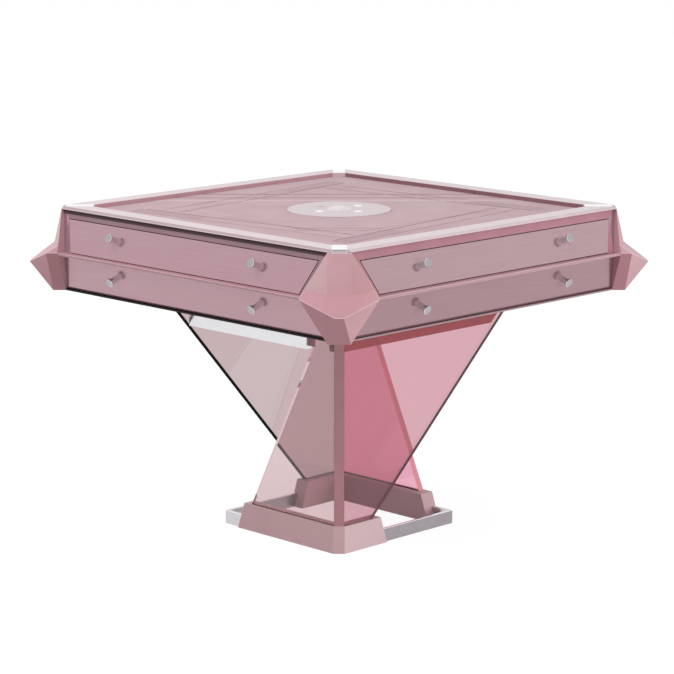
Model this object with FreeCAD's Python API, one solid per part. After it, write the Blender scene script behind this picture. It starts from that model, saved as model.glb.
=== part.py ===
"""Automatic mahjong table on a glass pedestal.

A square table body with a canted waist, two storeys of shallow drawers on every side and four
faceted corner castings stands on a pedestal of four tinted glass plates, two L-shaped feet and
a steel base ring. Inside the body are the shuffling drum, the tile lifters and the dice unit.

Units are millimetres, +Z is up, and the origin is on the floor under the table's centre.
The sides are named like the winds of the game: east is +X, north +Y, west -X and south -Y.
"""
import FreeCAD, Part
import itertools
import math
import os

Vector = FreeCAD.Vector

# Table body, as half widths and heights
table_height = 760.0
rim_half = 470.0
ridge_spread = 45.0
sill_inset = 5.8
upper_bay_height = 93.3
lower_bay_height = 96.4
rim_corner_cut = 35.9
ridge_corner_cut = 118.2
sill_corner_cut = 34.1

# Rim frame round the playing field
rim_flange = 5.0
rim_bevel_width = 12.5
rim_bevel_height = 3.3
rim_bevel_corner_cut = 24.0
rim_leg = 18.0
rim_depth = 22.0
field_half = 412.0
cap_half = 16.0

# Corner castings
gem_brow = 15.0
gem_wing = 17.9
gem_foot = 21.0
gem_tip_reach = 507.0
gem_tip_half = 6.6
gem_tip_drop = 30.7

# Rails and bottom of the body
ridge_rail = 6.7
pan_thickness = 4.0

# Playing board and machine housing
board_thickness = 11.5
felt_drop = 10.5
housing_half = 318.0
housing_wall = 4.0

# Drawers; their fronts are steeper than the body's outer planes
rim_recess = 8.0
bay_recess = 20.0
sill_recess = 5.0
front_thickness = 12.0
drawer_gap = 1.5
runner_gap = 0.3
upper_front_drop = 20.5
lower_front_drop = 1.5
drawer_box_half = 322.0
drawer_box_back = 335.0
drawer_wall = 8.0
drawer_floor = 5.0
upper_box_height = 60.0
lower_box_height = 70.0

# Liners round the upper drawer fronts
liner_setback = 1.0
liner_thickness = 10.0
liner_side_top = 19.0
liner_side_bottom = 22.8

# Drawer knobs
knob_spacing = 466.0
knob_stem_radius = 7.0
knob_stem_length = 17.0
knob_head_radius = 10.5
knob_head_length = 5.0
knob_chamfer = 0.8
upper_knob_height = 43.9
lower_knob_height = 52.9

# Tile lifters and their slots in the board
lifter_place = 280.0
lifter_slot_length = 500.0
lifter_slot_width = 46.0
lifter_gap = 0.5
lifter_plate = 8.0
lifter_sink = 0.3
lifter_leg_place = 190.0
lifter_leg_width = 40.0
lifter_leg_length = 52.0
lifter_leg_thickness = 12.0
lifter_shoe_length = 36.0

# Dice unit in the middle of the board
disc_radius = 120.0
disc_thickness = 2.0
disc_hole_radius = 114.0
disc_body_depth = 14.5
disc_body_gap = 0.5
dice_well_radius = 25.0
dice_well_depth = 12.0
dome_radius = 28.0
dome_height = 8.0
dome_wall = 1.5
dice_edge = 10.0
dice_spacing = 16.0
dice_stem_radius = 20.0
dice_stem_length = 73.0
button_radius = 10.0
button_place = 63.0
button_height = 7.5
button_rise = 2.0
button_pocket = 8.5
running_fit = 0.05

# Bridge that guides the dice unit
bridge_thickness = 12.0
bridge_half_width = 25.0
bridge_under_board = 54.0
sleeve_radius = 32.0
sleeve_height = 46.0

# Shuffling drum
drum_radius = 240.0
drum_wall = 8.0
drum_floor = 8.0
drum_height = 55.0
drum_lift = 30.7
drum_hub_radius = 30.0
drum_hub_height = 22.0
drum_hub_drop = 10.0
drum_ribs = 8
drum_rib_width = 6.0
drum_rib_height = 5.0
drum_rib_margin = 12.0
spindle_radius = 15.0
spindle_height = 80.0
spindle_collar_radius = 24.0
spindle_foot_radius = 40.0
spindle_foot_height = 8.0
thrust_gap = 0.3

# Base ring and feet
ring_half = 190.0
ring_bar = 8.0
ring_height = 32.5
ring_corner_cut = 20.0
foot_half = 194.5
foot_inner_half = 155.5
foot_height = 64.0
foot_corner_cut = 18.0
foot_south_reach = 142.0
foot_south_taper = 23.0
foot_east_reach = 38.0
foot_east_taper = 21.0

# Glass plates and corner bars
glass_thickness = 16.0
glass_seat = 46.0
glass_joint = 173.5
south_glass_foot = 107.5
south_glass_top = 155.8
east_glass_foot = 101.4
east_glass_top = 447.4
north_glass_foot = 102.9
north_glass_top = 132.8
west_glass_foot = 87.9
west_glass_top = 369.6

# Rails under the body
bearer_thickness = 23.9
bearer_gap = 0.1
east_bearer_depth = 101.3
east_bearer_inset = 12.0
west_bearer_depth = 43.3
cross_rail_place = 296.0
cross_rail_thickness = 16.0
cross_rail_depth = 69.3
cross_rail_end = 211.0

# Levels that follow from the heights
bay_top = table_height - rim_flange
ridge_top = bay_top - upper_bay_height
ridge_bottom = ridge_top - ridge_rail
sill_bottom = ridge_top - lower_bay_height
pan_top = sill_bottom + pan_thickness
board_top = table_height - felt_drop
board_bottom = board_top - board_thickness

# Half widths that follow from the rim's
ridge_half = rim_half + ridge_spread
sill_half = rim_half - sill_inset
bay_top_half = rim_half - rim_corner_cut
bay_waist_half = ridge_half - ridge_corner_cut
bay_sill_half = sill_half - sill_corner_cut

# Other places that follow
leg_half = field_half + rim_leg
field_corner_cut = cap_half * math.sqrt(2.0)
mouth_top = bay_top - upper_front_drop + drawer_gap
sides = ("east", "north", "west", "south")
gem_names = ("corner_northeast", "corner_northwest", "corner_southwest", "corner_southeast")
quarter_turn = 90.0
z_axis = Vector(0, 0, 1)
origin = Vector(0, 0, 0)


def blend(start, end, share):
    """Value at a share of the way from start to end."""
    return start + (end - start) * share


def upper_face(z):
    """Distance of the upper outer plane from the centre at a height."""
    return blend(ridge_half, rim_half, (z - ridge_top) / upper_bay_height)


def lower_face(z):
    """Distance of the lower outer plane from the centre at a height."""
    return blend(sill_half, ridge_half, (z - sill_bottom) / lower_bay_height)


def upper_front_face(z):
    """Distance of the face of an upper drawer front from the centre at a height."""
    return blend(ridge_half - bay_recess, rim_half - rim_recess, (z - ridge_top) / upper_bay_height)


def lower_front_face(z):
    """Distance of the face of a lower drawer front from the centre at a height."""
    return blend(sill_half - sill_recess, ridge_half - bay_recess,
                 (z - sill_bottom) / lower_bay_height)


def bay_half(z):
    """Half width of the opening between two corner castings at a height."""
    if z > ridge_top:
        return blend(bay_waist_half, bay_top_half, (z - ridge_top) / upper_bay_height)
    return blend(bay_sill_half, bay_waist_half, (z - sill_bottom) / lower_bay_height)


def box(x0, x1, y0, y1, z0, z1):
    """Block between two corners."""
    return Part.makeBox(x1 - x0, y1 - y0, z1 - z0, Vector(x0, y0, z0))


def disc(radius, z0, z1, x=0.0, y=0.0):
    """Upright cylinder between two heights."""
    return Part.makeCylinder(radius, z1 - z0, Vector(x, y, z0))


def prism(points, along):
    """Closed outline pushed along a vector."""
    return Part.Face(Part.makePolygon(list(points) + [points[0]])).extrude(along)


def hull(points):
    """Convex solid: each plane through three points with the rest on one side is a face."""
    size = max((p - points[0]).Length for p in points)
    flat = size * 1e-9
    rims = {}
    for a, b, c in itertools.combinations(points, 3):
        normal = (b - a).cross(c - a)
        if normal.Length < size * flat:
            continue
        normal.normalize()
        heights = [(p - a).dot(normal) for p in points]
        if max(heights) > flat and min(heights) < -flat:
            continue
        members = [i for i, height in enumerate(heights) if abs(height) <= flat]
        rims[frozenset(members)] = normal
    faces = []
    for members, normal in rims.items():
        rim = [points[i] for i in members]
        middle = sum(rim, Vector()) / len(rim)
        first = (rim[0] - middle).normalize()
        second = normal.cross(first)
        rim.sort(key=lambda p: math.atan2((p - middle).dot(second), (p - middle).dot(first)))
        faces.append(Part.Face(Part.makePolygon(rim + [rim[0]])))
    solid = Part.Solid(Part.Shell(faces))
    if solid.Volume < 0:
        solid.reverse()
    return solid


def octagon(half, corner_cut, z):
    """Corners of a square of this half width with its corners cut."""
    short = half - corner_cut
    pairs = [(half, -short), (half, short), (short, half), (-short, half),
             (-half, short), (-half, -short), (-short, -half), (short, -half)]
    return [Vector(x, y, z) for x, y in pairs]


def turned(shape, quarters):
    """Copy of a shape turned about the table's centre line."""
    copy = shape.copy()
    copy.rotate(origin, z_axis, quarters * quarter_turn)
    return copy


def four(shape):
    """A shape on the east side, repeated on all four sides."""
    return [turned(shape, quarters) for quarters in range(len(sides))]


def save(node, *solids):
    """Write the solids of one node."""
    shape = solids[0] if len(solids) == 1 else Part.makeCompound(list(solids))
    shape.exportStep(os.path.join("parts", node + ".step"))


def base_ring():
    """Flat steel bar bent to a square; the two corners inside the feet are cut off."""
    def frame_corners(half, corner_cut):
        short = half - corner_cut
        return [Vector(-half, -half, 0), Vector(short, -half, 0), Vector(half, -short, 0),
                Vector(half, half, 0), Vector(-short, half, 0), Vector(-half, short, 0)]
    up = Vector(0, 0, ring_height)
    inner_cut = ring_corner_cut - ring_bar * (2.0 - math.sqrt(2.0))
    outer = prism(frame_corners(ring_half, ring_corner_cut), up)
    return outer.cut(prism(frame_corners(ring_half - ring_bar, inner_cut), up))


def front_foot(ring, panes):
    """L-shaped foot under the south-east corner, slotted for the ring, grooved for the glass."""
    south_arm = prism([Vector(-foot_south_reach, -foot_half, 0), Vector(foot_half, -foot_half, 0),
                       Vector(foot_half, -foot_half, foot_height),
                       Vector(foot_south_taper - foot_south_reach, -foot_half, foot_height)],
                      Vector(0, foot_half - foot_inner_half, 0))
    east_arm = prism([Vector(foot_inner_half, -foot_half, 0),
                      Vector(foot_inner_half, -foot_east_reach, 0),
                      Vector(foot_inner_half, -foot_east_reach - foot_east_taper, foot_height),
                      Vector(foot_inner_half, -foot_half, foot_height)],
                     Vector(foot_half - foot_inner_half, 0, 0))
    outline = octagon(foot_half, foot_corner_cut, 0)
    foot = south_arm.fuse(east_arm).removeSplitter()
    foot = foot.common(prism(outline, Vector(0, 0, foot_height)))
    for piece in [ring] + panes:
        foot = foot.cut(piece)
    return foot


def pane_south():
    """Front left plate, wide at its foot and narrow under the body."""
    corners = [Vector(-south_glass_foot, -ring_half, glass_seat),
               Vector(glass_joint, -ring_half, glass_seat),
               Vector(glass_joint, -ring_half, sill_bottom),
               Vector(south_glass_top, -ring_half, sill_bottom)]
    return prism(corners, Vector(0, glass_thickness, 0))


def pane_east():
    """Front right plate, narrow at its foot and wide under the body."""
    corners = [Vector(ring_half, -glass_joint, glass_seat),
               Vector(ring_half, -east_glass_foot, glass_seat),
               Vector(ring_half, east_glass_top, sill_bottom),
               Vector(ring_half, -glass_joint, sill_bottom)]
    return prism(corners, Vector(-glass_thickness, 0, 0))


def pane_north():
    """Back right plate, wide at its foot and narrow under the body."""
    corners = [Vector(-glass_joint, ring_half, glass_seat),
               Vector(north_glass_foot, ring_half, glass_seat),
               Vector(-north_glass_top, ring_half, sill_bottom),
               Vector(-glass_joint, ring_half, sill_bottom)]
    return prism(corners, Vector(0, -glass_thickness, 0))


def pane_west():
    """Back left plate, narrow at its foot and wide under the body."""
    corners = [Vector(-ring_half, glass_joint, glass_seat),
               Vector(-ring_half, west_glass_foot, glass_seat),
               Vector(-ring_half, -west_glass_top, sill_bottom),
               Vector(-ring_half, glass_joint, sill_bottom)]
    return prism(corners, Vector(glass_thickness, 0, 0))


def corner_bar():
    """Three-sided bar that closes the joint of the two front plates."""
    corners = [Vector(ring_half, -glass_joint, glass_seat),
               Vector(glass_joint, -ring_half, glass_seat),
               Vector(glass_joint, -glass_joint, glass_seat)]
    return prism(corners, Vector(0, 0, sill_bottom - glass_seat))


def bearers():
    """Rails along the insides of the two wide plates, which carry the body."""
    face = ring_half - glass_thickness - bearer_gap
    slope = (east_glass_top + east_glass_foot) / (sill_bottom - glass_seat)
    end_top = east_glass_top - east_bearer_inset
    end_bottom = end_top - slope * east_bearer_depth
    bottom = sill_bottom - east_bearer_depth
    start = glass_joint - bearer_gap
    east = prism([Vector(face, -start, bottom), Vector(face, end_bottom, bottom),
                  Vector(face, end_top, sill_bottom), Vector(face, -start, sill_bottom)],
                 Vector(-bearer_thickness, 0, 0))
    west = box(-face, bearer_thickness - face, bearer_gap - cross_rail_place, start,
               sill_bottom - west_bearer_depth, sill_bottom)
    return east, west


def cross_rails():
    """Steel rails across the bearers, one near each open side of the pedestal."""
    face = ring_half - glass_thickness - bearer_gap
    far = cross_rail_place + cross_rail_thickness
    bottom = sill_bottom - cross_rail_depth
    south = box(-face, cross_rail_end, -far, -cross_rail_place, bottom, sill_bottom)
    north = box(-cross_rail_end, face - bearer_thickness - bearer_gap, cross_rail_place, far,
                bottom, sill_bottom)
    return south, north


def bottom_pan():
    """Plate under the whole body, with edges that follow the corner castings."""
    corners = octagon(bay_half(sill_bottom), 0, sill_bottom) + octagon(bay_half(pan_top), 0, pan_top)
    unique = []
    for corner in corners:
        if all((corner - other).Length > bearer_gap for other in unique):
            unique.append(corner)
    return hull(unique)


def machine_housing():
    """Square tube that holds the mechanism and carries the board."""
    inner = housing_half - housing_wall
    tube = box(-housing_half, housing_half, -housing_half, housing_half, pan_top, board_bottom)
    return tube.cut(box(-inner, inner, -inner, inner, pan_top, board_bottom))


def mid_rail():
    """Shelf between the drawers; its front edge is the ridge of the body."""
    corners = []
    for z in (ridge_bottom, ridge_top):
        half = bay_half(z)
        for way in (-1, 1):
            corners += [Vector(housing_half, way * housing_half, z), Vector(half, way * half, z),
                        Vector(lower_face(z), way * half, z)]
    return hull(corners)


def sill_rail():
    """Lowest edge of a side, in front of the bottom pan."""
    corners = []
    for z in (sill_bottom, pan_top):
        half = bay_half(z)
        for x in (half, lower_face(z)):
            corners += [Vector(x, -half, z), Vector(x, half, z)]
    return hull(corners)


def canted_slab(face, z0, z1, setback, thickness, half0, half1):
    """Slab behind a sloping face, with its own half width at its foot and top."""
    corners = []
    for z, half in ((z0, half0), (z1, half1)):
        for x in (face(z) - setback, face(z) - setback - thickness):
            corners += [Vector(x, -half, z), Vector(x, half, z)]
    return hull(corners)


def upper_front_half(z):
    """Half width of an upper drawer front at a height."""
    share = (z - ridge_top) / (mouth_top - ridge_top)
    return blend(bay_half(ridge_top) - liner_side_bottom, bay_half(mouth_top) - liner_side_top,
                 share)


def bay_liner():
    """Painted frame round an upper drawer front, open at its foot."""
    slab = canted_slab(upper_front_face, ridge_top, bay_top, liner_setback, liner_thickness,
                       bay_half(ridge_top), bay_half(bay_top))
    low = upper_front_half(ridge_top) + drawer_gap
    high = upper_front_half(mouth_top) + drawer_gap
    mouth = prism([Vector(housing_half, -low, ridge_top), Vector(housing_half, low, ridge_top),
                   Vector(housing_half, high, mouth_top), Vector(housing_half, -high, mouth_top)],
                  Vector(ridge_half - housing_half, 0, 0))
    return slab.cut(mouth)


def gem_casting():
    """Faceted corner casting between the east and north sides.

    Two convex blocks meet in the crease above the wings: the upper one is canted like the
    sides, the lower one spreads to the pointed tip and runs back to the sill.
    """
    def both(reach, half, z):
        return [Vector(reach, half, z), Vector(half, reach, z)]

    tip_height = ridge_top - gem_tip_drop
    wing_reach = ridge_half + gem_wing
    wing_half = bay_waist_half + gem_wing
    wing_u = (wing_reach + wing_half) / math.sqrt(2.0)
    tip_u = gem_tip_reach * math.sqrt(2.0)
    shelf_slope = gem_tip_drop / (tip_u - wing_u)
    waist_u = (ridge_half + bay_waist_half) / math.sqrt(2.0)
    brow_u = (rim_half + bay_top_half) / math.sqrt(2.0)
    crease_rise = shelf_slope * (wing_u - waist_u)
    crease_fall = upper_bay_height + shelf_slope * (brow_u - waist_u)
    crease = ridge_top + upper_bay_height * crease_rise / crease_fall
    upper = hull(both(rim_half, bay_top_half, bay_top)
                 + both(rim_half + gem_brow, bay_top_half + gem_brow, ridge_top)
                 + both(ridge_half, bay_waist_half, ridge_top)
                 + [Vector(bay_top_half, bay_top_half, bay_top),
                    Vector(bay_waist_half, bay_waist_half, ridge_top)])
    inner = bay_half(crease)
    lower = hull(both(ridge_half, bay_waist_half, ridge_top)
                 + both(upper_face(crease), inner, crease)
                 + both(wing_reach, wing_half, ridge_top)
                 + both(gem_tip_reach + gem_tip_half, gem_tip_reach - gem_tip_half, tip_height)
                 + both(sill_half + gem_foot, bay_sill_half + gem_foot, sill_bottom)
                 + both(sill_half, bay_sill_half, sill_bottom)
                 + [Vector(inner, inner, crease),
                    Vector(bay_waist_half, bay_waist_half, ridge_top),
                    Vector(bay_sill_half, bay_sill_half, sill_bottom)])
    return upper.fuse(lower).removeSplitter()


def rim_frame():
    """The whole rim: a flange with a bevelled outer edge, and a leg round the board."""
    edge = bay_top + rim_flange - rim_bevel_height
    flange = hull(octagon(rim_half, rim_corner_cut, bay_top)
                  + octagon(rim_half, rim_corner_cut, edge)
                  + octagon(rim_half - rim_bevel_width, rim_bevel_corner_cut, table_height))
    foot = table_height - rim_depth
    leg = prism(octagon(leg_half, field_corner_cut, foot), Vector(0, 0, rim_depth - rim_flange))
    field = prism(octagon(field_half, field_corner_cut, foot), Vector(0, 0, rim_depth))
    return flange.fuse(leg).removeSplitter().cut(field)


def rim_pieces():
    """The rim cut into four straight strips and four corner caps."""
    rim = rim_frame()
    foot = table_height - rim_depth
    half = field_corner_cut
    reach = ridge_half
    wedge = prism([Vector(half, 0, foot), Vector(reach, reach - half, foot),
                   Vector(reach, half - reach, foot)], Vector(0, 0, rim_depth))
    lane = prism([Vector(half, 0, foot), Vector(reach, reach - half, foot),
                  Vector(reach, reach, foot), Vector(reach - half, reach, foot),
                  Vector(0, half, foot)], Vector(0, 0, rim_depth))
    return four(rim.common(wedge)), four(rim.common(lane))


def playing_board():
    """Board with its felt: a round hole for the dice unit and a slot for each tile lifter."""
    board = prism(octagon(field_half, field_corner_cut, board_bottom),
                  Vector(0, 0, board_thickness))
    board = board.cut(disc(disc_hole_radius, board_bottom, board_top))
    slot = box(lifter_place - lifter_slot_width / 2, lifter_place + lifter_slot_width / 2,
               -lifter_slot_length / 2, lifter_slot_length / 2, board_bottom, board_top)
    for cutter in four(slot):
        board = board.cut(cutter)
    return board


def tile_lifter():
    """Plate that carries a wall of tiles up through its slot, on two guided legs."""
    half_width = lifter_slot_width / 2 - lifter_gap
    half_length = lifter_slot_length / 2 - lifter_gap
    top = board_top - lifter_sink
    bottom = top - lifter_plate
    outer = lifter_place + half_width
    shoe_top = board_bottom - lifter_gap
    wall = housing_half - housing_wall - lifter_gap
    lifter = box(lifter_place - half_width, outer, -half_length, half_length, bottom, top)
    for way in (-1, 1):
        y0 = way * lifter_leg_place - lifter_leg_width / 2
        y1 = y0 + lifter_leg_width
        leg = box(outer - lifter_leg_thickness, outer, y0, y1, bottom - lifter_leg_length, bottom)
        shoe = box(outer, wall, y0, y1, shoe_top - lifter_shoe_length, shoe_top)
        lifter = lifter.fuse(leg).fuse(shoe)
    return lifter.removeSplitter()


def lift_bridge():
    """Cross bar in the housing with the sleeve that guides the dice unit."""
    top = board_bottom - bridge_under_board
    bottom = top - bridge_thickness
    inner = housing_half - housing_wall
    bridge = box(-inner, inner, -bridge_half_width, bridge_half_width, bottom, top)
    bridge = bridge.fuse(disc(sleeve_radius, bottom, top + sleeve_height))
    bore = disc(dice_stem_radius + running_fit, bottom, top + sleeve_height)
    return bridge.removeSplitter().cut(bore)


def drum_spindle():
    """Fixed shaft of the drum, on a round foot, with a thrust collar."""
    collar_top = pan_top + drum_lift - drum_hub_drop - thrust_gap
    foot = disc(spindle_foot_radius, pan_top, pan_top + spindle_foot_height)
    collar = disc(spindle_collar_radius, pan_top, collar_top)
    shaft = disc(spindle_radius, pan_top, pan_top + spindle_height)
    return foot.fuse(collar).fuse(shaft).removeSplitter()


def shuffle_drum():
    """Turning dish that stirs the tiles, with low ribs on its floor."""
    bottom = pan_top + drum_lift
    floor_top = bottom + drum_floor
    inner = drum_radius - drum_wall
    hub_bottom = bottom - drum_hub_drop
    drum = disc(drum_radius, bottom, bottom + drum_height)
    drum = drum.cut(disc(inner, floor_top, bottom + drum_height))
    drum = drum.fuse(disc(drum_hub_radius, hub_bottom, hub_bottom + drum_hub_height))
    rib = box(drum_hub_radius + drum_rib_margin, inner - drum_rib_margin, -drum_rib_width / 2,
              drum_rib_width / 2, floor_top, floor_top + drum_rib_height)
    for index in range(drum_ribs):
        copy = rib.copy()
        copy.rotate(origin, z_axis, index * 4.0 * quarter_turn / drum_ribs)
        drum = drum.fuse(copy)
    bore = disc(spindle_radius + running_fit, hub_bottom, hub_bottom + drum_hub_height)
    return drum.removeSplitter().cut(bore)


def dice_housing():
    """Round unit in the board: disc, dice well, button pockets and the guide stem."""
    top = board_top + disc_thickness
    body_bottom = board_top - disc_body_depth
    unit = disc(disc_radius, board_top, top)
    unit = unit.fuse(disc(disc_hole_radius - disc_body_gap, body_bottom, board_top))
    unit = unit.fuse(disc(dice_stem_radius, body_bottom - dice_stem_length, body_bottom))
    unit = unit.removeSplitter().cut(disc(dice_well_radius, top - dice_well_depth, top))
    for x, y in button_places():
        unit = unit.cut(disc(button_radius + running_fit, top - button_pocket, top, x, y))
    return unit


def button_places():
    """Centres of the four dice buttons, one towards each side."""
    return [(button_place, 0.0), (0.0, button_place), (-button_place, 0.0), (0.0, -button_place)]


def dice_button(x, y):
    """Push button with a chamfered top."""
    top = board_top + disc_thickness + button_rise
    button = disc(button_radius, top - button_height, top, x, y)
    rim = [edge for edge in button.Edges if abs(edge.BoundBox.ZMin - top) < running_fit]
    return button.makeChamfer(knob_chamfer, rim)


def dice_dome():
    """Low domed cover over the dice well."""
    base = board_top + disc_thickness
    outer_radius = (dome_radius ** 2 + dome_height ** 2) / (2.0 * dome_height)
    centre = Vector(0, 0, base + dome_height - outer_radius)
    dome = Part.makeSphere(outer_radius, centre).cut(Part.makeSphere(outer_radius - dome_wall, centre))
    return dome.common(disc(dome_radius, base, base + dome_height))


def dice():
    """Two dice on the floor of the well."""
    floor = board_top + disc_thickness - dice_well_depth
    half = dice_edge / 2
    return [box(x - half, x + half, -half, half, floor, floor + dice_edge)
            for x in (-dice_spacing / 2, dice_spacing / 2)]


def drawer_box(face, floor, height):
    """Open tray behind a drawer front; the front closes its end."""
    top = floor + height
    inner_back = drawer_box_back + drawer_wall
    inner_half = drawer_box_half - drawer_wall
    tray = prism([Vector(drawer_box_back, -drawer_box_half, floor),
                  Vector(face(floor) - front_thickness, -drawer_box_half, floor),
                  Vector(face(top) - front_thickness, -drawer_box_half, top),
                  Vector(drawer_box_back, -drawer_box_half, top)],
                 Vector(0, 2.0 * drawer_box_half, 0))
    return tray.cut(box(inner_back, ridge_half, -inner_half, inner_half, floor + drawer_floor, top))


def knob(face, z, y):
    """Turned knob that stands square to its drawer front: a stem and a wider head."""
    rise = (face(z) - face(z + knob_head_radius)) / knob_head_radius
    axis = Vector(1, 0, rise).normalize()
    length = knob_stem_length + knob_head_length
    outline = [Vector(0, 0, 0), Vector(knob_stem_radius, 0, 0),
               Vector(knob_stem_radius, 0, knob_stem_length),
               Vector(knob_head_radius - knob_chamfer, 0, knob_stem_length),
               Vector(knob_head_radius, 0, knob_stem_length + knob_chamfer),
               Vector(knob_head_radius, 0, length - knob_chamfer),
               Vector(knob_head_radius - knob_chamfer, 0, length), Vector(0, 0, length)]
    shape = Part.Face(Part.makePolygon(outline + [outline[0]])).revolve(origin, z_axis, 360)
    shape.Placement = FreeCAD.Placement(Vector(face(z), y, z), FreeCAD.Rotation(z_axis, axis))
    return shape


def upper_drawer():
    """Front, tray and knobs of an east upper drawer."""
    bottom = ridge_top + drawer_gap
    top = bay_top - upper_front_drop
    front = canted_slab(upper_front_face, bottom, top, 0, front_thickness,
                        upper_front_half(bottom), upper_front_half(top))
    tray = drawer_box(upper_front_face, ridge_top + runner_gap, upper_box_height)
    z = ridge_top + upper_knob_height
    return front, tray, [knob(upper_front_face, z, way * knob_spacing / 2) for way in (-1, 1)]


def lower_drawer():
    """Front, tray and knobs of an east lower drawer."""
    bottom = pan_top + drawer_gap
    top = ridge_bottom - lower_front_drop
    front = canted_slab(lower_front_face, bottom, top, 0, front_thickness,
                        bay_half(bottom) - drawer_gap, bay_half(top) - drawer_gap)
    tray = drawer_box(lower_front_face, pan_top + runner_gap, lower_box_height)
    z = sill_bottom + lower_knob_height
    return front, tray, [knob(lower_front_face, z, way * knob_spacing / 2) for way in (-1, 1)]


def build():
    """Make every node and write it."""
    os.makedirs("parts", exist_ok=True)

    ring = base_ring()
    panes = {"south_glass": pane_south(), "east_glass": pane_east(),
             "north_glass": pane_north(), "west_glass": pane_west()}
    bar = corner_bar()
    bars = [bar, turned(bar, 2)]
    foot = front_foot(ring, [panes["south_glass"], panes["east_glass"], bar])
    back_foot = turned(front_foot(turned(ring, 2), [turned(panes["north_glass"], 2),
                                                    turned(panes["west_glass"], 2), bar]), 2)
    save("base_ring", ring)
    save("front_foot", foot)
    save("rear_foot", back_foot)
    save("corner_bars", *bars)
    for name, pane in panes.items():
        save(name, pane)
    save("bearers", *bearers())
    save("cross_rails", *cross_rails())

    save("bottom_pan", bottom_pan())
    save("machine_housing", machine_housing())
    save("mid_rails", *four(mid_rail()))
    save("sill_rails", *four(sill_rail()))
    save("bay_liners", *four(bay_liner()))
    for name, casting in zip(gem_names, four(gem_casting())):
        save(name, casting)
    strips, caps = rim_pieces()
    save("rim_strips", *strips)
    save("rim_corner_caps", *caps)
    save("playing_board", playing_board())

    save("lift_bridge", lift_bridge())
    save("drum_spindle", drum_spindle())
    save("shuffle_drum", shuffle_drum())
    save("dice_housing", dice_housing())
    save("dice_dome", dice_dome())
    save("dice", *dice())

    for side, (x, y) in zip(sides, button_places()):
        save(side + "_button", dice_button(x, y))
    for side, lifter in zip(sides, four(tile_lifter())):
        save(side + "_lifter", lifter)
    for storey, (front, tray, knobs) in (("upper", upper_drawer()), ("lower", lower_drawer())):
        for quarters, side in enumerate(sides):
            name = side + "_" + storey
            save(name + "_front", turned(front, quarters))
            save(name + "_tray", turned(tray, quarters))
            save(name + "_knobs", *[turned(piece, quarters) for piece in knobs])


build()
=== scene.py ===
"""Looks of the mahjong table: finishes of every piece, small trim, studio and camera.

Lengths are metres unless a name ends in _mm. +Z is up; the photographed corner is at +X, -Y.
"""

import math

import bmesh
import bpy
from mathutils import Matrix, Vector


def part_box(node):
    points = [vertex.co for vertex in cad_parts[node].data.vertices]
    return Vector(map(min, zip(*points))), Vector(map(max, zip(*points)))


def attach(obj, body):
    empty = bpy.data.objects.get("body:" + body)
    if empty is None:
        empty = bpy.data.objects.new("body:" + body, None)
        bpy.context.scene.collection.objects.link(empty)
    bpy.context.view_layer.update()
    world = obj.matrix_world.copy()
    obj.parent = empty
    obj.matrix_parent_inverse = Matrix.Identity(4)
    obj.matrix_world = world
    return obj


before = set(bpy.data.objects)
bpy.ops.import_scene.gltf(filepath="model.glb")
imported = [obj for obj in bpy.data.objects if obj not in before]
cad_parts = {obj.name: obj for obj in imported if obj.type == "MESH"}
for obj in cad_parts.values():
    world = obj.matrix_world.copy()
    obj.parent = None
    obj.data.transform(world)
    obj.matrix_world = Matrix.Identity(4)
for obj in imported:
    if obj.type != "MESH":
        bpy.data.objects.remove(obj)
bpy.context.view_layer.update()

MM = 0.001
QUARTER = math.pi / 2
SIDES = ("east", "north", "west", "south")
OUTWARD = ((1, 0), (0, 1), (-1, 0), (0, -1))
STOREYS = ("upper", "lower")
CORNERS = ("northeast", "northwest", "southwest", "southeast")

# Camera of the photograph, solved from the rim, the ridge and the base ring
CAMERA_PLACE = (4.17256, -4.17934, 1.62784)
CAMERA_PITCH = 0.19691
CAMERA_TURN = math.pi / 4
CAMERA_REACH = 50
FOCAL_PIXELS = 2579.84
FRAME_PIXELS = 674.0
SENSOR_MM = 36.0

# Strength of the white room: as light on matt surfaces, and where it is seen
AMBIENT = 0.60
SEEN_ROOM = 1.0

# Soft boxes: name, place, aim, side and watts
LAMPS = (("high_left_soft_box", (-0.8, -2.6, 3.9), (0, 0, 0.6), 2.2, 78),
         ("low_right_soft_box", (4.2, 0.9, 0.9), (0, 0, 0.55), 1.8, 72))

# Studio floor: half its side, its depth under the feet, its glow, and the share of what is seen
# of it that takes the shadow
FLOOR_HALF = 12.0
FLOOR_DROP = 0.0005
FLOOR_GLOW = 1.50
FLOOR_SHADOW_SHARE = 0.40

# Print on the felt: two slanting lines a side, repeated round the middle like a pinwheel. Also
# coloured into the felt: straight dark lines across the far and the near corner, and a pale line
# beside the far ones. Each has its two ends, and its width in mm.
WALL_LINES = (((-0.322, -0.308), (0.281, -0.236), 5.5), ((-0.321, -0.353), (0.304, -0.284), 3.6))
CROSS_LINES = (((-0.412, -0.055), (0.055, 0.412), 9.0), ((-0.412, -0.138), (0.138, 0.412), 9.0),
               ((0.126, -0.266), (0.266, -0.126), 5.0), ((0.149, -0.289), (0.289, -0.149), 5.0))
PALE_LINE = ((-0.412, -0.203), (0.203, 0.412), 7.0)

# Ribs between the lines: middle, half size and direction of their band, radius of the curve,
# pitch, and the inked share of the pitch
FAN_MIDDLE = (-0.228, -0.319)
FAN_HALF = (0.105, 0.020)
FAN_RUN = (0.584, 0.067)
FAN_RADIUS = 0.16
FAN_PITCH_MM = 13.0
FAN_RIB_SHARE = 0.38

# Screw head: radius and height of its rings, as shares of the whole
SCREW_RINGS = ((1.0, 0.0), (1.0, 0.5), (0.8, 1.0), (0.35, 1.0), (0.30, 0.4))
SCREW_SIDES = 16


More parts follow.
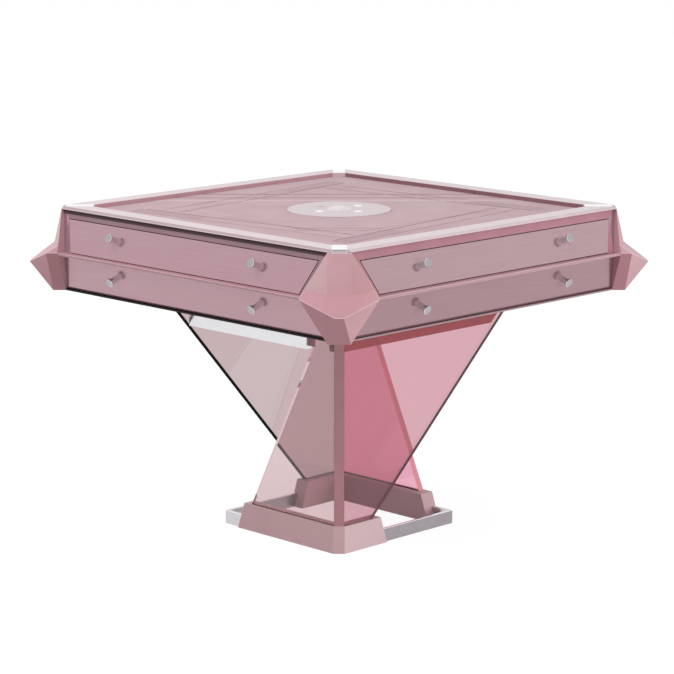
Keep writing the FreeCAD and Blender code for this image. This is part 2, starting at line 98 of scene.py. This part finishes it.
def srgb(code):
    """Linear RGBA of an sRGB hex colour."""
    values = [int(code[i:i + 2], 16) / 255 for i in (1, 3, 5)]
    return [v / 12.92 if v <= 0.04045 else ((v + 0.055) / 1.055) ** 2.4 for v in values] + [1.0]


def add(tree, kind, settings=(), **links):
    """Add a node with its settings; each link names an input and gives a socket or a value."""
    node = tree.nodes.new(kind)
    for name, value in dict(settings).items():
        setattr(node, name, value)
    for name, value in links.items():
        key = int(name[1:]) if name[0] == "i" and name[1:].isdigit() else name.replace("_", " ")
        if isinstance(value, bpy.types.NodeSocket):
            tree.links.new(value, node.inputs[key])
        else:
            node.inputs[key].default_value = value
    return node


def new_material(name):
    """Empty node material, and its tree."""
    material = bpy.data.materials.new(name)
    material.use_nodes = True
    material.node_tree.nodes.clear()
    return material, material.node_tree


def speckle(tree, size_mm, detail=2.0, stretch=(1, 1, 1)):
    """Noise whose blobs have about the given size, in the table's own frame."""
    scale = [s / (size_mm * MM) for s in stretch]
    where = add(tree, "ShaderNodeTexCoord").outputs["Object"]
    mapped = add(tree, "ShaderNodeMapping", Vector=where, Scale=scale)
    noise = add(tree, "ShaderNodeTexNoise", Vector=mapped.outputs[0], Scale=1.0, Detail=detail)
    return noise.outputs["Fac"]


def shades(tree, factor, low, high, start=0.3, end=0.7):
    """Two colours mixed by a factor."""
    ramp = add(tree, "ShaderNodeMapRange", i0=factor, i1=start, i2=end)
    mix = add(tree, "ShaderNodeMix", {"data_type": "RGBA"}, i0=ramp.outputs[0],
              i6=srgb(low), i7=srgb(high))
    return mix.outputs[2]


def surfaced(tree, height, depth_mm, strength=1.0, **values):
    """Principled shader with the given values and links, over a relief of a real depth."""
    bump = add(tree, "ShaderNodeBump", Height=height, Distance=depth_mm * MM, Strength=strength)
    shader = add(tree, "ShaderNodeBsdfPrincipled", Normal=bump.outputs[0], **values)
    add(tree, "ShaderNodeOutputMaterial", Surface=shader.outputs["BSDF"])


def painted(name, low, high, roughness, grain_mm=1.6, depth_mm=0.02, gloss=0.5):
    """Sprayed paint, enamel or satin anodising on a smooth piece: an even colour that is faintly
    cloudy, with a very fine orange peel that softens its shine."""
    cloud_mm = 90.0
    material, tree = new_material(name)
    colour = shades(tree, speckle(tree, cloud_mm), low, high)
    surfaced(tree, speckle(tree, grain_mm), depth_mm, Base_Color=colour, Roughness=roughness,
             Specular_IOR_Level=gloss)
    return material


def brushed(name, low, high, along):
    """Anodised aluminium brushed along one axis: streaks a hand long that draw out its shine. They
    are drawn a millimetre wide, because real ones of a tenth of that don't show."""
    streak_mm, streak_share, depth_mm = 1.1, 0.012, 0.004
    finest, coarsest = 0.14, 0.23
    material, tree = new_material(name)
    stretch = [1.0, 1.0, 1.0]
    stretch[along] = streak_share
    streaks = speckle(tree, streak_mm, detail=1.0, stretch=stretch)
    colour = shades(tree, streaks, low, high, start=0.2, end=0.8)
    rough = add(tree, "ShaderNodeMapRange", i0=streaks, i3=finest, i4=coarsest)
    surfaced(tree, streaks, depth_mm, Base_Color=colour, Roughness=rough.outputs[0],
             Metallic=0.7)
    return material


def metal(name, low, high, roughness):
    """Polished or plated metal: bright reflections, with the faint haze of handling."""
    haze_mm, haze_spread, grain_mm, depth_mm = 25.0, 0.1, 0.8, 0.004
    material, tree = new_material(name)
    haze = speckle(tree, haze_mm)
    rough = add(tree, "ShaderNodeMapRange", i0=haze, i3=roughness * (1 - haze_spread),
                i4=roughness * (1 + haze_spread))
    surfaced(tree, speckle(tree, grain_mm), depth_mm, Roughness=rough.outputs[0], Metallic=1.0,
             Base_Color=shades(tree, haze, low, high))
    return material


def tinted_glass(name, tint):
    """Float glass tinted in the mass, clear and slightly rippled. The colour is what one plate
    lets through, so it deepens where two plates cross."""
    ripple_mm, depth_mm = 60.0, 0.02
    material, tree = new_material(name)
    surfaced(tree, speckle(tree, ripple_mm, detail=0.0), depth_mm, Base_Color=srgb(tint),
             Roughness=0.0, IOR=1.5, Transmission_Weight=1.0)
    return material


def moulded(name, low, high, roughness):
    """Moulded plastic: an even colour, and a fine spark-eroded grain that dulls its shine."""
    grain_mm, depth_mm = 0.6, 0.01
    material, tree = new_material(name)
    grain = speckle(tree, grain_mm)
    surfaced(tree, grain, depth_mm, Base_Color=shades(tree, grain, low, high),
             Roughness=roughness, IOR=1.46)
    return material


def inside(tree, middle, angle, half):
    """1 inside a turned rectangle on the table top, 0 outside."""
    where = add(tree, "ShaderNodeTexCoord").outputs["Object"]
    local = add(tree, "ShaderNodeMapping", {"vector_type": "TEXTURE"}, Vector=where,
                Location=(middle[0], middle[1], 0), Rotation=(0, 0, angle),
                Scale=(half[0], half[1], 1)).outputs[0]
    reach = add(tree, "ShaderNodeVectorMath", {"operation": "ABSOLUTE"}, i0=local).outputs[0]
    parts = add(tree, "ShaderNodeSeparateXYZ", Vector=reach).outputs
    far = add(tree, "ShaderNodeMath", {"operation": "MAXIMUM"}, i0=parts[0], i1=parts[1])
    return add(tree, "ShaderNodeMath", {"operation": "LESS_THAN"}, i0=far.outputs[0],
               i1=1.0).outputs[0]


def turn_point(point, angle):
    """Point turned about the table's centre line."""
    c, s = math.cos(angle), math.sin(angle)
    return c * point[0] - s * point[1], s * point[0] + c * point[1]


def any_of(tree, masks):
    """1 where any of the masks is."""
    total = masks[0]
    for mask in masks[1:]:
        total = add(tree, "ShaderNodeMath", {"operation": "MAXIMUM"}, i0=total, i1=mask).outputs[0]
    return total


def stripe(tree, start, end, width_mm):
    """1 on a straight printed line."""
    middle = ((start[0] + end[0]) / 2, (start[1] + end[1]) / 2)
    run = (end[0] - start[0], end[1] - start[1])
    half = (math.hypot(run[0], run[1]) / 2, width_mm * MM / 2)
    return inside(tree, middle, math.atan2(run[1], run[0]), half)


def printed_lines(tree):
    """Lines beside the places of the four tile walls, and across two corners."""
    masks = [stripe(tree, start, end, width) for start, end, width in CROSS_LINES]
    for quarter in range(len(SIDES)):
        angle = quarter * QUARTER
        for start, end, width in WALL_LINES:
            masks.append(stripe(tree, turn_point(start, angle), turn_point(end, angle), width))
    return any_of(tree, masks)


def wall_fans(tree):
    """Row of fine curved ribs between the lines, at one end of each pair."""
    tilt = math.atan2(FAN_RUN[1], FAN_RUN[0])
    where = add(tree, "ShaderNodeTexCoord").outputs["Object"]
    masks = []
    for quarter in range(len(SIDES)):
        angle = quarter * QUARTER
        hub = turn_point((FAN_MIDDLE[0] + FAN_RADIUS, FAN_MIDDLE[1]), angle)
        local = add(tree, "ShaderNodeMapping", {"vector_type": "TEXTURE"}, Vector=where,
                    Location=(hub[0], hub[1], 0)).outputs[0]
        flat = add(tree, "ShaderNodeVectorMath", {"operation": "MULTIPLY"}, i0=local, i1=(1, 1, 0))
        radius = add(tree, "ShaderNodeVectorMath", {"operation": "LENGTH"}, i0=flat.outputs[0])
        step = add(tree, "ShaderNodeMath", {"operation": "DIVIDE"}, i0=radius.outputs["Value"],
                   i1=FAN_PITCH_MM * MM)
        wave = add(tree, "ShaderNodeMath", {"operation": "FRACT"}, i0=step.outputs[0])
        rib = add(tree, "ShaderNodeMath", {"operation": "LESS_THAN"}, i0=wave.outputs[0],
                  i1=FAN_RIB_SHARE)
        band = inside(tree, turn_point(FAN_MIDDLE, angle), angle + tilt, FAN_HALF)
        masks.append(add(tree, "ShaderNodeMath", {"operation": "MULTIPLY"}, i0=rib.outputs[0],
                         i1=band).outputs[0])
    return any_of(tree, masks)


def table_felt(name):
    """Short-pile woollen felt: soft and without shine, with a faint nap, and the pattern printed
    and pressed in."""
    cloud_mm, fibre_mm, pile_mm = 70.0, 1.8, 0.25
    nap_share, fan_ink, line_press, pile_strength = 0.10, 0.75, 0.6, 0.6
    material, tree = new_material(name)
    cloud = shades(tree, speckle(tree, cloud_mm), "#C4A4AA", "#CAADB2")
    fibre = speckle(tree, fibre_mm, detail=6.0)
    grey = add(tree, "ShaderNodeCombineColor", i0=fibre, i1=fibre, i2=fibre).outputs[0]
    nap = add(tree, "ShaderNodeMix", {"data_type": "RGBA", "blend_type": "OVERLAY"},
              i0=nap_share, i6=cloud, i7=grey).outputs[2]
    lines = printed_lines(tree)
    faint = add(tree, "ShaderNodeMath", {"operation": "MULTIPLY"}, i0=wall_fans(tree),
                i1=fan_ink).outputs[0]
    inked = add(tree, "ShaderNodeMix", {"data_type": "RGBA"}, i0=any_of(tree, [lines, faint]),
                i6=nap, i7=srgb("#94707A")).outputs[2]
    printed = add(tree, "ShaderNodeMix", {"data_type": "RGBA"}, i0=stripe(tree, *PALE_LINE),
                  i6=inked, i7=srgb("#DCC7CA")).outputs[2]
    pressed = add(tree, "ShaderNodeMath", {"operation": "MULTIPLY"}, i0=lines,
                  i1=line_press).outputs[0]
    pile = add(tree, "ShaderNodeMath", {"operation": "SUBTRACT"}, i0=fibre, i1=pressed).outputs[0]
    surfaced(tree, pile, pile_mm, pile_strength, Base_Color=printed, Roughness=0.95,
             Sheen_Weight=0.20, Sheen_Roughness=0.4, Specular_IOR_Level=0.2)
    return material


FINISHES = {
    # Woollen felt: the soft dusty rose of the playing field
    "felt": table_felt("rose_wool_felt"),
    # Anodised aluminium of the rim: a pale satin top. Its slopes, outer sides and rose walls
    # towards the felt are darker copies of it, painted shade: lighter on the east and west slopes
    # and walls, deepest on the south and north walls
    "rim": painted("satin_anodised_rim", "#D9C7CB", "#DECDD1", 0.36),
    "rim slope x": painted("pale_rim_slope_painted_shade", "#CDB7BC", "#D2BDC1", 0.36),
    "rim slope y": painted("deep_rim_slope_painted_shade", "#AC9298", "#B2989E", 0.36),
    "rim side": painted("rim_side_painted_shade", "#B0979C", "#B69DA2", 0.45, gloss=0.3),
    "rim wall x": painted("rose_rim_wall_painted_shade_x", "#C2959D", "#C89BA3", 0.5),
    "rim wall y": painted("deep_rose_rim_wall_painted_shade_y", "#865E66", "#8C646C", 0.5),
    # Nickel plate: white glints at the four corners of the rim; the caps' outer sides are a satin
    # greyer copy, painted shade
    "cap": metal("polished_nickel_cap", "#F4F2F3", "#F8F6F7", 0.12),
    "cap side": metal("nickel_cap_side_painted_shade", "#A39B9F", "#A9A1A5", 0.3),
    # Satin paint on moulded ABS, with a soft shine. Its facets carry painted light and shade: a
    # paler lit side facet, a deeper shaded one, a darker shelf and painted shade underneath; and a
    # painted highlight line along the edges
    "casting": painted("satin_rose_paint_on_abs", "#CB9CA3", "#D0A3A9", 0.42),
    "casting pale": painted("rose_paint_painted_light_facet", "#CFA9AE", "#D4AFB3", 0.42),
    "casting deep": painted("rose_paint_painted_shade_facet", "#C5969D", "#CB9DA3", 0.42),
    "casting shelf": painted("rose_paint_painted_shade_shelf", "#C3919A", "#C997A0", 0.40),
    "casting under": painted("rose_paint_painted_shade_underneath", "#BA828C", "#C08992", 0.42),
    "casting highlight edge": painted("rose_paint_painted_highlight_edge", "#E3C3C7", "#E7C9CD", 0.35),
    # Brushed and anodised aluminium: long streaks along the drawer fronts; the lower fronts on
    # east and west are a darker copy, painted shade
    "front x": brushed("brushed_rose_aluminium_x", "#B5909A", "#C09CA4", 0),
    "front y": brushed("brushed_rose_aluminium_y", "#B2949A", "#BC9FA5", 1),
    "front y low": brushed("brushed_rose_aluminium_painted_shade_low", "#A17F86", "#AB8A91", 1),
    # Moulded plastic: the matt inside of the drawers
    "tray": moulded("moulded_drawer_tray", "#8F7379", "#9A7C83", 0.55),
    # Enamelled sheet and rails: satin frames round the upper fronts, a rose ridge, and rose sills
    # under the lower fronts. On south and north the frames are greyer and the sills black, as
    # painted shade
    "liner x": painted("grey_rose_painted_shade_enamel", "#8E6C74", "#967680", 0.34),
    "liner y": painted("deep_rose_enamel", "#AE7682", "#B67F8B", 0.34),
    "rail": painted("satin_rose_rail", "#BF8E98", "#C5959F", 0.32),
    "sill x": painted("black_painted_shade_sill", "#14090B", "#1A0E10", 0.6, gloss=0.2),
    "sill y": painted("rose_enamelled_sill", "#A78A90", "#AD9096", 0.4),
    # Powder coat on sheet steel: matt, with a coarser orange peel than paint
    "sheet": painted("powder_coated_sheet", "#B58C94", "#BD969D", 0.55, 1.2, 0.05),
    # Chrome plate: mirror-like stems, and heads turned satin
    "chrome": metal("chromed_knob", "#D8D7D8", "#DEDDDE", 0.08),
    "knob face": metal("satin_chrome_knob_face", "#A9A6A9", "#B4B1B4", 0.22),
    # Stainless and zinc-plated steel: clear reflections on the base ring and the cross rails,
    # duller ones on the inner fittings; the ring's east and west sides are a darker, duller copy,
    # painted shade
    "ring": metal("polished_stainless_bar", "#CAC6CA", "#D0CCD0", 0.18),
    "ring side": metal("stainless_bar_painted_shade_side", "#A09A9F", "#A6A1A5", 0.28),
    "cross": metal("polished_steel_cross_rail", "#DAD9DC", "#DFDEE1", 0.24),
    "zinc": metal("zinc_plated_steel", "#A9AAAC", "#B4B5B7", 0.35),
    # Enamelled steel and anodised bars of the pedestal: satin rose, deep red along the bearers;
    # one side of each foot is a paler copy, painted light
    "foot": painted("satin_rose_enamel_foot", "#CDA7AC", "#D3AFB3", 0.42),
    "foot side": painted("rose_enamel_foot_painted_light_side", "#DABCC0", "#DFC2C6", 0.42),
    "bar": painted("anodised_brown_rose_bar", "#AE7A81", "#B58289", 0.36),
    "bearer": painted("deep_rose_bearer_paint", "#A2303B", "#A83640", 0.42, gloss=0.3),
    # Float glass: four tints, and free edges that draw dark or glowing lines; the black and the
    # brown edge are painted reflections
    "west glass": tinted_glass("grey_rose_float_glass", "#C2AFB1"),
    "south glass": tinted_glass("pale_rose_float_glass", "#D6BDC0"),
    "north glass": tinted_glass("rose_float_glass", "#E8AABE"),
    "east glass": tinted_glass("deep_rose_float_glass", "#D09FAA"),
    "black edge": painted("black_painted_reflection_glass_edge", "#020202", "#050404", 0.8, gloss=0.05),
    "brown edge": painted("brown_rose_painted_reflection_glass_edge", "#8A4F5A", "#92565F", 0.5, gloss=0.1),
    "pink edge": painted("ground_deep_pink_glass_edge", "#EE9AA6", "#F2A2AD", 0.5, gloss=0.2),
    # Moulded plastics of the machine: a dark matt drum, a satin disc, a milky dome, and glossy
    # buttons and dice with lacquered pips
    "drum": moulded("moulded_drum", "#5A5C60", "#64666A", 0.6),
    "disc": moulded("satin_pink_disc", "#D2C3C7", "#D8CACD", 0.45),
    "dome": moulded("milky_dome", "#DDD5D8", "#E4DDDF", 0.28),
    "button": moulded("glossy_white_button", "#F6F3F4", "#FBF9FA", 0.22),
    "die": moulded("ivory_white_die", "#F1EEE6", "#F6F4EE", 0.25),
    "pip": moulded("black_pip_lacquer", "#1B1B1D", "#222224", 0.3),
    # Painted shade: a dull dark strip under the rim on south and north
    "painted shade strip": painted("dull_dark_painted_shade_strip", "#5E494D", "#64504F", 0.8, gloss=0.1),
}

# Finish of each node that isn't one of a row
SINGLE = {
    "base_ring": "ring", "front_foot": "foot", "rear_foot": "foot", "corner_bars": "bar",
    "bearers": "bearer", "cross_rails": "cross", "bottom_pan": "sheet",
    "machine_housing": "sheet", "mid_rails": "rail", "sill_rails": "sill x",
    "bay_liners": "liner y", "rim_strips": "rim", "rim_corner_caps": "cap",
    "playing_board": "felt", "lift_bridge": "zinc", "drum_spindle": "zinc",
    "shuffle_drum": "drum", "dice_housing": "disc", "dice_dome": "dome", "dice": "die",
}

# Rounding of the edges in mm, the finish that it shows, and the least angle of such an edge. The
# pale highlight edge on castings, feet and rails, and the nickel on the ring's edges, are painted
# highlights
EDGES = {
    "casting": (1.1, "casting highlight edge", 60), "foot": (1.1, "casting highlight edge", 30),
    "rim": (1.2, "rim", 30), "cap": (0.6, "cap", 14), "front x": (0.5, "front x", 14),
    "front y": (0.5, "front y", 14), "front y low": (0.5, "front y low", 14),
    "rail": (0.9, "casting highlight edge", 14), "ring": (0.9, "cap", 14), "bar": (0.4, "bar", 14),
    "cross": (0.5, "cross", 14), "disc": (0.3, "disc", 14), "button": (0.3, "button", 14),
}


def finish_table():
    """Finish of every CAD node, by name."""
    finishes = dict(SINGLE)
    for corner in CORNERS:
        finishes["corner_" + corner] = "casting"
    for side, (x, _) in zip(SIDES, OUTWARD):
        finishes[side + "_glass"] = side + " glass"
        finishes[side + "_lifter"] = "felt"
        finishes[side + "_button"] = "disc" if side == "west" else "button"
        for storey in STOREYS:
            name = side + "_" + storey
            # The lower east and west fronts take the darker copy, painted shade
            facing_x = "front y" if storey == "upper" else "front y low"
            finishes[name + "_front"] = facing_x if x else "front x"
            finishes[name + "_tray"] = "tray"
            finishes[name + "_knobs"] = "chrome"
    return finishes


def soften_edges(node, width_mm, finish, least_angle):
    """Small rounded edges, so that they catch the light; where their finish is paler than the
    piece, it is a painted highlight.
    """
    weld_mm, steps = 0.01, 2
    node.data.materials.append(FINISHES[finish])
    weld = node.modifiers.new("weld", "WELD")
    weld.merge_threshold = weld_mm * MM
    bevel = node.modifiers.new("soft_edges", "BEVEL")
    bevel.width = width_mm * MM
    bevel.segments = steps
    bevel.limit_method = "ANGLE"
    bevel.angle_limit = math.radians(least_angle)
    bevel.material = len(node.data.materials) - 1


def dress_frame():
    """Give every CAD node its finish and its softened edges."""
    for name, finish in finish_table().items():
        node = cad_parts[name]
        node.data.materials.clear()
        node.data.materials.append(FINISHES[finish])
        if finish in EDGES:
            soften_edges(node, *EDGES[finish])


def paint_faces(name, finish, test):
    """Another finish on the faces of a node whose centre and normal pass a test."""
    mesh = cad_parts[name].data
    mesh.materials.append(FINISHES[finish])
    for face in mesh.polygons:
        if test(face.center, face.normal):
            face.material_index = len(mesh.materials) - 1


def outwards(centre, normal):
    """Distance of a face from the table's centre line along its normal; below 0 it faces in."""
    return centre.x * normal.x + centre.y * normal.y


def dress_glass():
    """Free edges of three plates: black and brown paint as painted reflections, and a ground pink
    edge. Light passes all four.
    """
    slant, square = 0.3, 0.3
    paint_faces("west_glass", "black edge", lambda c, n: n.y < -slant and abs(n.x) < square)
    paint_faces("east_glass", "brown edge", lambda c, n: n.y > slant and abs(n.x) < square)
    paint_faces("north_glass", "pink edge", lambda c, n: n.x > slant and abs(n.y) < square)
    for side in SIDES:
        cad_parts[side + "_glass"].visible_shadow = False


def dress_rim():
    """Painted shade on the rim: deeper slopes and outer sides, greyer sides of the caps, and a
    darker rose wall round the felt.
    """
    level, sloping, steep, upright, tilted = 0.99, 0.9, 0.6, 0.5, 0.2

    def slope(n):
        return sloping < n.z < level

    def shaded_felt_wall(c, n):
        return abs(n.z) < upright and outwards(c, n) < 0

    paint_faces("rim_strips", "rim slope x", lambda c, n: slope(n) and abs(n.x) > tilted)
    paint_faces("rim_strips", "rim slope y", lambda c, n: slope(n) and abs(n.y) > tilted)
    paint_faces("rim_corner_caps", "cap side", lambda c, n: n.z < level and outwards(c, n) > 0)
    paint_faces("rim_strips", "rim side", lambda c, n: n.z < steep and outwards(c, n) > 0)
    paint_faces("rim_strips", "rim wall x", lambda c, n: shaded_felt_wall(c, n) and abs(n.x) > abs(n.y))
    paint_faces("rim_strips", "rim wall y", lambda c, n: shaded_felt_wall(c, n) and abs(n.y) > abs(n.x))


def dress_bays():
    """Painted shade on south and north: darker frames and black sills. The ends of the frames
    towards the southwest and northeast corners take the tone of the fronts, a painted reflection."""
    bay_end = 0.40
    paint_faces("bay_liners", "liner x", lambda c, n: abs(c.y) > abs(c.x))
    paint_faces("bay_liners", "front x",
                lambda c, n: abs(c.y) > abs(c.x) > bay_end and c.x * c.y > 0)
    paint_faces("bay_liners", "front y",
                lambda c, n: abs(c.x) > abs(c.y) > bay_end and c.x * c.y > 0)
    paint_faces("sill_rails", "sill y", lambda c, n: abs(c.x) > abs(c.y))


def dress_castings():
    """Painted light and shade on a casting: a pale lit side facet and a deep shaded one, a
    darkened sloping shelf, and painted shade under it.
    """
    upper_facet, shelf, under = (0.1, 0.6), (0.75, 0.9), (-0.9, -0.3)
    outer, turned, lower_turned = 0.35, 0.1, 0.4

    def side_facet(c, n):
        return upper_facet[0] < n.z < upper_facet[1] and outwards(c, n) > outer

    for corner in CORNERS:
        casting = "corner_" + corner
        paint_faces(casting, "casting pale",
                    lambda c, n: side_facet(c, n) and abs(n.y) > abs(n.x) + turned)
        paint_faces(casting, "casting deep",
                    lambda c, n: side_facet(c, n) and abs(n.x) > abs(n.y) + turned)
        paint_faces(casting, "casting shelf",
                    lambda c, n: shelf[0] < n.z < shelf[1] and outwards(c, n) > 0)
        paint_faces(casting, "casting under",
                    lambda c, n: under[0] < n.z < under[1] and abs(n.y) > lower_turned)


def dress_bright_work():
    """Satin faces on the knobs' heads, painted shade on the east and west sides of the ring, and
    painted light on one side of each foot.
    """
    facing = 0.8
    for side, (x, y) in zip(SIDES, OUTWARD):
        for storey in STOREYS:
            paint_faces(side + "_" + storey + "_knobs", "knob face",
                        lambda c, n: n.x * x + n.y * y > facing)
    paint_faces("base_ring", "ring side", lambda c, n: abs(n.x) > facing)
    paint_faces("front_foot", "foot side", lambda c, n: n.x > facing)
    paint_faces("rear_foot", "foot side", lambda c, n: n.x < -facing)


def mesh_piece(name, build, finish, body):
    """New piece made by a bmesh function, riding on a body."""
    mesh = bpy.data.meshes.new(name)
    work = bmesh.new()
    build(work)
    bmesh.ops.recalc_face_normals(work, faces=work.faces)
    work.to_mesh(mesh)
    work.free()
    mesh.materials.append(FINISHES[finish])
    piece = bpy.data.objects.new(name, mesh)
    bpy.context.scene.collection.objects.link(piece)
    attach(piece, body)


def bridge(work, first, second):
    """Faces between two rings of vertices."""
    for index in range(len(first)):
        following = (index + 1) % len(first)
        work.faces.new((first[index], first[following], second[following], second[index]))


def closed_bar(work, first, second):
    """Bar between two rings of vertices, with its two ends."""
    bridge(work, first, second)
    work.faces.new(first)
    work.faces.new(second)


def screw_head(work, centre, axis, radius, height):
    """Low round head with a recess, pushed out along an axis."""
    turn = Vector(axis).to_track_quat("Z", "Y").to_matrix().to_4x4()
    rings = []
    for radius_share, height_share in SCREW_RINGS:
        spoke = radius * radius_share
        ring = []
        for index in range(SCREW_SIDES):
            angle = 2 * math.pi * index / SCREW_SIDES
            point = Vector((spoke * math.cos(angle), spoke * math.sin(angle),
                            height * height_share))
            ring.append(work.verts.new(Vector(centre) + turn @ point))
        rings.append(ring)
    work.faces.new(list(reversed(rings[0])))
    for first, second in zip(rings, rings[1:]):
        bridge(work, first, second)
    work.faces.new(rings[-1])


def pan_screws():
    """Screws that hold the bottom pan, along its four edges."""
    low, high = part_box("bottom_pan")
    inset, pitch, count = 0.014, 0.16, 5
    head_radius, head_height = 3.6 * MM, 1.4 * MM
    reach = high.x - inset

    def build(work):
        for index in range(count):
            along = (index - (count - 1) / 2) * pitch
            for x, y in ((reach, along), (-reach, along), (along, reach), (along, -reach)):
                screw_head(work, (x, y, low.z), (0, 0, -1), head_radius, head_height)

    mesh_piece("pan_screws", build, "zinc", "table")


def dice_pips():
    """Pips on the tops of the two dice: three on the western one, two on the other."""
    low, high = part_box("dice")
    edge, pitch = 10 * MM, 2.5 * MM
    foot_radius, top_radius, height, sides = 1.0 * MM, 0.9 * MM, 0.2 * MM, 12

    def build(work):
        for centre, spots in ((low.x + edge / 2, (-1, 0, 1)), (high.x - edge / 2, (-1, 1))):
            for spot in spots:
                spot_place = Matrix.Translation((centre + spot * pitch, spot * pitch, high.z))
                bmesh.ops.create_cone(work, cap_ends=True, segments=sides, radius1=foot_radius,
                                      radius2=top_radius, depth=height, matrix=spot_place)

    mesh_piece("dice_pips", build, "pip", "dice_unit")


def painted_shade_strips():
    """Dark strips in the reveal under the rim, above the south and north bays: painted shade. They
    follow the bays' slope, which goes out by a share of its height."""
    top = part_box("bay_liners")[1].z
    height, proud, buried = 9.5 * MM, 0.8 * MM, 3.0 * MM
    face, half_length, slope = 0.461, 0.4315, 0.354
    front, back, flare = face + proud, face - buried, slope * height

    def build(work):
        for way in (-1, 1):
            ends = [[work.verts.new((x, way * depth, z))
                     for depth, z in ((front, top), (back, top), (back + flare, top - height),
                                      (front + flare, top - height))]
                    for x in (-half_length, half_length)]
            closed_bar(work, *ends)

    mesh_piece("painted_shade_strips", build, "painted shade strip", "table")


def rail_brackets():
    """Angle brackets at the free ends of the cross rails."""
    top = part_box("cross_rails")[1].z
    thickness, leg, height = 3.0 * MM, 14.0 * MM, 64.0 * MM
    inner_x, inner_y = 0.211, 0.286
    outline = ((0, 0), (thickness, 0), (thickness, leg - thickness), (leg, leg - thickness),
               (leg, leg), (0, leg))

    def build(work):
        for way in (-1, 1):
            ends = [[work.verts.new((-way * (inner_x + x), way * (inner_y + y), z))
                     for x, y in outline]
                    for z in (top - height, top - thickness / 2)]
            closed_bar(work, *ends)

    mesh_piece("rail_brackets", build, "bar", "table")


def seen_ray(tree):
    """1 for what the picture shows directly, in a reflection or through glass."""
    path = add(tree, "ShaderNodeLightPath").outputs
    return any_of(tree, [path["Is Camera Ray"], path["Is Glossy Ray"],
                         path["Is Transmission Ray"]])


def studio():
    """White room in the picture, in reflections and through glass; softer light on the table."""
    world = bpy.data.worlds.new("studio")
    bpy.context.scene.world = world
    world.use_nodes = True
    tree = world.node_tree
    tree.nodes.clear()
    strength = add(tree, "ShaderNodeMix", i0=seen_ray(tree), i2=AMBIENT, i3=SEEN_ROOM).outputs[0]
    background = add(tree, "ShaderNodeBackground", Color=(1, 1, 1, 1), Strength=strength)
    add(tree, "ShaderNodeOutputWorld", Surface=background.outputs[0])


def lamp(name, place_at, aim, size, watts):
    """Square soft box aimed at a point; it lights, and doesn't show in reflections."""
    data = bpy.data.lights.new(name, "AREA")
    data.size = size
    data.energy = watts
    box = bpy.data.objects.new(name, data)
    box.location = place_at
    direction = Vector(aim) - Vector(place_at)
    box.rotation_euler = direction.to_track_quat("-Z", "Y").to_euler()
    box.visible_glossy = False
    bpy.context.scene.collection.objects.link(box)


def floor():
    """White studio floor that shows the table's shadow."""
    mesh = bpy.data.meshes.new("floor")
    near, far = -FLOOR_HALF, FLOOR_HALF
    mesh.from_pydata([(near, near, 0), (far, near, 0), (far, far, 0), (near, far, 0)],
                     [], [(0, 1, 2, 3)])
    sheet = bpy.data.objects.new("floor", mesh)
    bpy.context.scene.collection.objects.link(sheet)
    sheet.location.z = -FLOOR_DROP
    material, tree = new_material("white_studio_floor")
    glow = add(tree, "ShaderNodeEmission", Color=(1, 1, 1, 1), Strength=FLOOR_GLOW)
    matte = add(tree, "ShaderNodeBsdfDiffuse", Color=srgb("#BDBDBD"))
    shadowed = add(tree, "ShaderNodeMixShader", i0=FLOOR_SHADOW_SHARE, i1=glow.outputs[0],
                   i2=matte.outputs[0])
    mixed = add(tree, "ShaderNodeMixShader", i0=seen_ray(tree), i1=matte.outputs[0],
                i2=shadowed.outputs[0])
    add(tree, "ShaderNodeOutputMaterial", Surface=mixed.outputs[0])
    mesh.materials.append(material)


def camera():
    """Camera at the photograph's place, with its long lens."""
    data = bpy.data.cameras.new("camera")
    data.sensor_width = SENSOR_MM
    data.lens = FOCAL_PIXELS / FRAME_PIXELS * SENSOR_MM
    data.clip_end = CAMERA_REACH
    eye = bpy.data.objects.new("camera", data)
    eye.location = CAMERA_PLACE
    eye.rotation_euler = (QUARTER - CAMERA_PITCH, 0, CAMERA_TURN)
    bpy.context.scene.collection.objects.link(eye)
    bpy.context.scene.camera = eye


dress_frame()
dress_glass()
dress_rim()
dress_bays()
dress_castings()
dress_bright_work()
pan_screws()
dice_pips()
painted_shade_strips()
rail_brackets()
studio()
for soft_box in LAMPS:
    lamp(*soft_box)
floor()
camera()

bpy.context.scene.view_settings.view_transform = "Standard"
